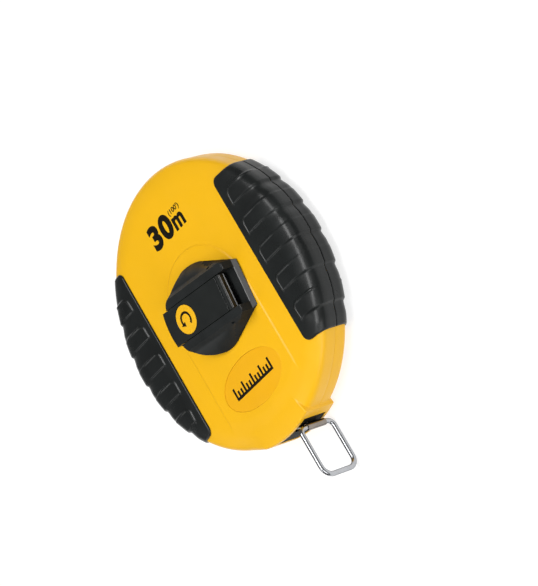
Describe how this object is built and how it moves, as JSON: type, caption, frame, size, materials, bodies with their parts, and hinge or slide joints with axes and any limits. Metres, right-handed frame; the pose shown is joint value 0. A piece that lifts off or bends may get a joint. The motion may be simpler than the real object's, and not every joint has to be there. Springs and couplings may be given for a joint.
{
  "type": "surveyor tape reel",
  "caption": "Closed round tape reel: yellow case, black side grips, folding winding crank, and a steel pull ring at the tape's mouth.",
  "frame": {"origin": "on the drum axis, in the plane the reel's back rests on", "axes": "+Z along the drum axis, out of the crank side; +Y away from the tape's mouth; +X across the two grips, towards the crank's hinge"},
  "size_m": [0.1536, 0.1809, 0.0328],
  "materials": {
    "yellow_case": "moulded case plastic, satin gloss with a fine texture",
    "badge": "label plate in the case's colour, satin",
    "black_grip": "moulded rubber, matt",
    "black_plastic": "fine-textured nylon",
    "spool_plastic": "plain moulded plastic, inside the case",
    "tape_white": "coated fibreglass tape",
    "sticker": "printed vinyl",
    "zinc_steel": "zinc-plated fasteners",
    "polished_steel": "nickel-plated wire and folded clip"
  },
  "bodies": {
    "case": {"front_case": "yellow_case", "back_case": "yellow_case", "grip_front_right": "black_grip", "grip_front_left": "black_grip", "grip_back_right": "black_grip", "grip_back_left": "black_grip", "mouthpiece": "black_plastic", "badge_plate": "badge", "case_screw_1": "zinc_steel", "case_screw_2": "zinc_steel", "case_screw_3": "zinc_steel", "case_screw_4": "zinc_steel", "spool_washer": "zinc_steel"},
    "drum": {"crank_rotor": "black_plastic", "spool_hub": "spool_plastic", "spool_flange_front": "spool_plastic", "spool_flange_back": "spool_plastic", "tape_coil": "tape_white", "rotor_screw_1": "zinc_steel", "rotor_screw_2": "zinc_steel", "rotor_screw_3": "zinc_steel", "hinge_pin": "zinc_steel"},
    "arm": {"crank_arm": "black_plastic", "arm_sticker": "sticker", "knob_rivet": "zinc_steel"},
    "knob": {"crank_knob": "black_plastic"},
    "tape_end": {"tape_leader": "tape_white", "ring_clip": "polished_steel", "clip_rivet_1": "zinc_steel", "clip_rivet_2": "zinc_steel"},
    "ring": {"end_ring": "polished_steel"}
  },
  "joints": [
    {"name": "drum_spin", "type": "hinge", "parent": "case", "child": "drum", "pos_m": [0, 0, 0.0125], "axis": [0, 0, 1], "continuous": true},
    {"name": "arm_fold", "type": "hinge", "parent": "drum", "child": "arm", "pos_m": [0.02113, -0.00267, 0.0294], "axis": [0.1253, 0.9921, 0], "range_deg": [0, 180]},
    {"name": "knob_spin", "type": "hinge", "parent": "arm", "child": "knob", "pos_m": [-0.01042, 0.00132, 0.023], "axis": [0, 0, 1], "continuous": true},
    {"name": "tape_pull", "type": "slide", "parent": "case", "child": "tape_end", "axis": [0.8992, -0.4376, 0], "range_m": [0, 0.036]},
    {"name": "ring_swing", "type": "hinge", "parent": "tape_end", "child": "ring", "pos_m": [0.01085, -0.0784, 0.0125], "axis": [0, 0, 1], "range_deg": [-85, 95]}
  ]
}
